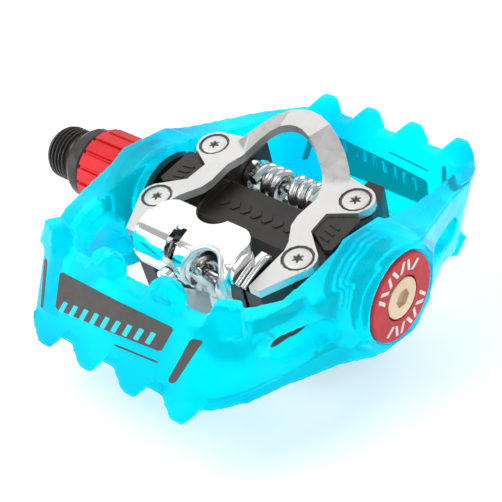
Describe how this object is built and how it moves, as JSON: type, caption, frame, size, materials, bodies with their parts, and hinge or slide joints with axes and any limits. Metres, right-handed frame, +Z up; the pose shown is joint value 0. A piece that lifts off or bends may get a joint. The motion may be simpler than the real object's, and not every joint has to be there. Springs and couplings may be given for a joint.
{
  "type": "clipless bicycle pedal",
  "caption": "Double-sided clipless bicycle pedal with sprung cleat clamps, a tilting flat-foot cage and a threaded spindle.",
  "frame": {"origin": "spindle axis, at the face of the collar that seats on the crank arm", "axes": "+X outboard along the spindle axis, +Z up through the face shown in use, +Y towards the front of the cage"},
  "size_m": [0.1101, 0.103, 0.0518],
  "materials": {
    "black_steel": "dark satin steel",
    "black_body": "dark satin anodised metal",
    "bright_chrome": "bright plated",
    "satin_nickel": "light satin nickel plate",
    "red_anodised": "satin red anodised",
    "champagne": "pale gold satin anodised",
    "cyan_plastic": "translucent frosted cyan",
    "seal_rubber": "matt black rubber",
    "bronze": "sintered bronze"
  },
  "bodies": {
    "spindle": {"spindle": "black_steel", "bearing_inner_ring": "bright_chrome", "bearing_ball_set": "bright_chrome", "spindle_nut": "bright_chrome"},
    "body": {"body": "black_body", "lock_ring": "red_anodised", "inboard_seal": "seal_rubber", "inboard_bush": "bronze", "bearing_outer_ring": "bright_chrome", "outboard_sleeve": "black_body", "end_plug": "black_steel", "end_cap": "red_anodised", "end_cap_screw": "champagne", "top_plate": "satin_nickel", "top_screw_inboard_front": "satin_nickel", "top_screw_inboard_rear": "satin_nickel", "top_screw_outboard_front": "satin_nickel", "top_screw_outboard_rear": "satin_nickel", "top_pivot_pin": "bright_chrome", "top_clamp_spring": "bright_chrome", "bottom_plate": "satin_nickel", "bottom_screw_inboard_front": "satin_nickel", "bottom_screw_inboard_rear": "satin_nickel", "bottom_screw_outboard_front": "satin_nickel", "bottom_screw_outboard_rear": "satin_nickel", "bottom_pivot_pin": "bright_chrome", "bottom_clamp_spring": "bright_chrome"},
    "cage": {"cage": "cyan_plastic", "cage_return_spring": "bright_chrome"},
    "top_clamp": {"top_clamp": "bright_chrome"},
    "top_tension_nut": {"top_tension_nut": "bright_chrome"},
    "top_tension_bolt": {"top_tension_bolt": "bright_chrome"},
    "bottom_clamp": {"bottom_clamp": "bright_chrome"},
    "bottom_tension_nut": {"bottom_tension_nut": "bright_chrome"},
    "bottom_tension_bolt": {"bottom_tension_bolt": "bright_chrome"}
  },
  "joints": [
    {"name": "pedal_spin", "type": "hinge", "parent": "spindle", "child": "body", "pos_m": [0.0608, 0, 0], "axis": [1, 0, 0], "continuous": true},
    {"name": "cage_tilt", "type": "hinge", "parent": "body", "child": "cage", "pos_m": [0.0608, 0, 0], "axis": [1, 0, 0], "range_deg": [0, 16], "stiffness_Nm_per_rad": 0.05, "springref_deg": -20.05},
    {"name": "top_clamp_pivot", "type": "hinge", "parent": "body", "child": "top_clamp", "pos_m": [0.0608, -0.01351, -0.00585], "axis": [1, 0, 0], "range_deg": [0, 18], "stiffness_Nm_per_rad": 2, "springref_deg": -25.21, "deforming": ["top_clamp_spring"]},
    {"name": "top_tension_turn", "type": "hinge", "parent": "top_clamp", "child": "top_tension_bolt", "pos_m": [0.0576, -0.02245, 0.00355], "axis": [0, 0.9613, 0.2756], "range_deg": [-510, 510]},
    {"name": "top_tension_nut_travel", "type": "slide", "parent": "top_clamp", "child": "top_tension_nut", "axis": [0, 0.9613, 0.2756], "range_m": [-0.00099, 0.00099]},
    {"name": "bottom_clamp_pivot", "type": "hinge", "parent": "body", "child": "bottom_clamp", "pos_m": [0.0608, 0.01351, 0.00585], "axis": [1, 0, 0], "range_deg": [0, 18], "stiffness_Nm_per_rad": 2, "springref_deg": -25.21, "deforming": ["bottom_clamp_spring"]},
    {"name": "bottom_tension_turn", "type": "hinge", "parent": "bottom_clamp", "child": "bottom_tension_bolt", "pos_m": [0.0576, 0.02245, -0.00355], "axis": [0, -0.9613, -0.2756], "range_deg": [-510, 510]},
    {"name": "bottom_tension_nut_travel", "type": "slide", "parent": "bottom_clamp", "child": "bottom_tension_nut", "axis": [0, -0.9613, -0.2756], "range_m": [-0.00099, 0.00099]}
  ],
  "couplings": [
    {"joint": "top_tension_turn", "follows": "top_tension_nut_travel", "rad_per_m": 8976},
    {"joint": "bottom_tension_turn", "follows": "bottom_tension_nut_travel", "rad_per_m": 8976}
  ]
}
